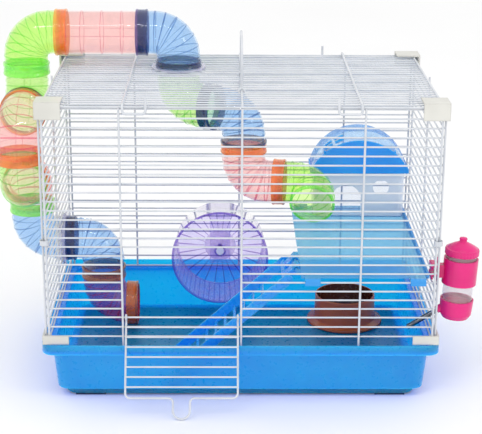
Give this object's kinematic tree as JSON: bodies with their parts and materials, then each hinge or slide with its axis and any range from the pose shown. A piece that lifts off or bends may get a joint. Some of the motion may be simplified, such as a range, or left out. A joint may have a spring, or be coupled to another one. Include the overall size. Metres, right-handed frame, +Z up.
{
  "type": "hamster cage",
  "caption": "Small-pet cage: wire body on a moulded tray, with coupled tunnels outside and in, running wheel, shelf, ladder ramp, hide house, food dish and water bottle.",
  "frame": {"origin": "on the surface that the cage stands on, under the middle of its whole extent", "axes": "+X to the right and +Y to the back as seen from the door, +Z up"},
  "size_m": [0.5777, 0.346, 0.434],
  "materials": {
    "tray_blue": "glossy injection-moulded sky blue plastic",
    "foot_rubber": "soft moulded pad",
    "wire_white": "white powder-coated steel wire",
    "corner_white": "off-white moulded plastic",
    "collar_lavender": "pale translucent plastic",
    "tunnel_blue": "translucent plastic",
    "tunnel_pink": "translucent plastic",
    "tunnel_lime": "translucent plastic",
    "tunnel_green": "translucent plastic",
    "tunnel_magenta": "translucent plastic",
    "ring_navy": "glossy opaque plastic",
    "ring_orange": "glossy opaque plastic",
    "ring_green": "glossy opaque plastic",
    "ring_brown": "glossy opaque plastic",
    "wheel_lilac": "translucent plastic",
    "wheel_purple": "translucent plastic",
    "axle_grey": "moulded plastic",
    "shelf_blue": "translucent plastic",
    "ladder_blue": "glossy plastic",
    "house_frosted": "frosted translucent plastic",
    "roof_blue": "glossy plastic",
    "vault_blue": "translucent ribbed plastic",
    "dish_brown": "glossy plastic",
    "bottle_clear": "clear plastic",
    "bottle_magenta": "glossy plastic",
    "spout_steel": "polished stainless steel"
  },
  "bodies": {
    "tray": {"tray": "tray_blue", "tray_feet": "foot_rubber"},
    "cage": {"back_panel": "wire_white", "base_corner_boots": "corner_white", "bottle_body": "bottle_clear", "bottle_holder": "bottle_magenta", "bottle_lower_cap": "bottle_magenta", "front_panel": "wire_white", "left_panel": "wire_white", "post_clips": "wire_white", "right_panel": "wire_white", "ring_00_navy": "ring_navy", "ring_01_navy": "ring_navy", "ring_02_orange": "ring_orange", "ring_03_green": "ring_green", "ring_04_orange": "ring_orange", "ring_05_orange": "ring_orange", "ring_06_orange": "ring_orange", "ring_07_green": "ring_green", "ring_08_navy": "ring_navy", "ring_09_brown": "ring_brown", "ring_11_navy": "ring_navy", "ring_12_orange": "ring_orange", "ring_13_orange": "ring_orange", "shelf": "shelf_blue", "side_tunnel_collar": "collar_lavender", "spout_tube": "spout_steel", "top_clip_wires": "wire_white", "top_corner_caps": "corner_white", "top_panel": "wire_white", "top_tunnel_collar": "collar_lavender", "tunnel_01_blue_elbow": "tunnel_blue", "tunnel_02_pink_straight": "tunnel_pink", "tunnel_03_lime_elbow": "tunnel_lime", "tunnel_04_green_elbow": "tunnel_green", "tunnel_05_pink_elbow": "tunnel_pink", "tunnel_06_green_elbow": "tunnel_green", "tunnel_07_pink_elbow": "tunnel_pink", "tunnel_08_blue_elbow": "tunnel_blue", "tunnel_09_blue_elbow": "tunnel_blue", "tunnel_11_green_elbow": "tunnel_green", "tunnel_12_blue_elbow": "tunnel_blue", "tunnel_13_pink_elbow": "tunnel_pink", "wheel_axle": "axle_grey", "wheel_bracket": "wheel_purple"},
    "front_door": {"front_door": "wire_white"},
    "carry_handle": {"carry_handle": "wire_white"},
    "wheel": {"wheel_drum": "wheel_lilac"},
    "ramp": {"ramp": "ladder_blue"},
    "food_dish": {"food_dish": "dish_brown"},
    "house": {"house_walls": "house_frosted"},
    "roof": {"house_roof": "roof_blue", "house_vault": "vault_blue"},
    "low_tunnel": {"tunnel_10_magenta_elbow": "tunnel_magenta", "ring_10_orange": "ring_orange"},
    "high_tunnel": {"tunnel_14_green_elbow": "tunnel_green"},
    "bottle_lid": {"bottle_top_cap": "bottle_magenta"},
    "spout_ball": {"spout_ball": "spout_steel"}
  },
  "joints": [
    {"name": "cage_lift", "type": "slide", "parent": "tray", "child": "cage", "axis": [0, 0, 1], "range_m": [0, 0.1]},
    {"name": "door_hinge", "type": "hinge", "parent": "cage", "child": "front_door", "pos_m": [-0.06165, -0.11715, 0.1068], "axis": [-1, 0, 0], "range_deg": [0, 151]},
    {"name": "handle_fold", "type": "hinge", "parent": "cage", "child": "carry_handle", "pos_m": [0.0076, -0.0035, 0.3619], "axis": [0, 1, 0], "range_deg": [-87, 87]},
    {"name": "wheel_spin", "type": "hinge", "parent": "cage", "child": "wheel", "pos_m": [-0.0179, 0.1215, 0.105], "axis": [0, 1, 0], "continuous": true},
    {"name": "ramp_fold", "type": "hinge", "parent": "cage", "child": "ramp", "pos_m": [0.0726, -0.066, 0.157], "axis": [0, 1, 0], "range_deg": [0, 110]},
    {"name": "dish_lift", "type": "slide", "parent": "tray", "child": "food_dish", "axis": [0, 0, 1], "range_m": [0, 0.06]},
    {"name": "house_lift", "type": "slide", "parent": "cage", "child": "house", "axis": [0, 0, 1], "range_m": [0, 0.03]},
    {"name": "roof_lift", "type": "slide", "parent": "house", "child": "roof", "axis": [0, 0, 1], "range_m": [0, 0.04]},
    {"name": "low_tunnel_swivel", "type": "hinge", "parent": "cage", "child": "low_tunnel", "pos_m": [-0.1699, 0.086, 0.075], "axis": [0, 0, 1], "range_deg": [-100, 100]},
    {"name": "high_tunnel_swivel", "type": "hinge", "parent": "cage", "child": "high_tunnel", "pos_m": [0.05672, 0.04163, 0.22505], "axis": [0.9903, -0.1392, 0], "continuous": true},
    {"name": "lid_lift", "type": "slide", "parent": "cage", "child": "bottle_lid", "axis": [0.0523, 0, 0.9986], "range_m": [0, 0.025]},
    {"name": "ball_travel", "type": "slide", "parent": "cage", "child": "spout_ball", "axis": [0.8387, 0, 0.5446], "range_m": [0, 0.001]}
  ]
}
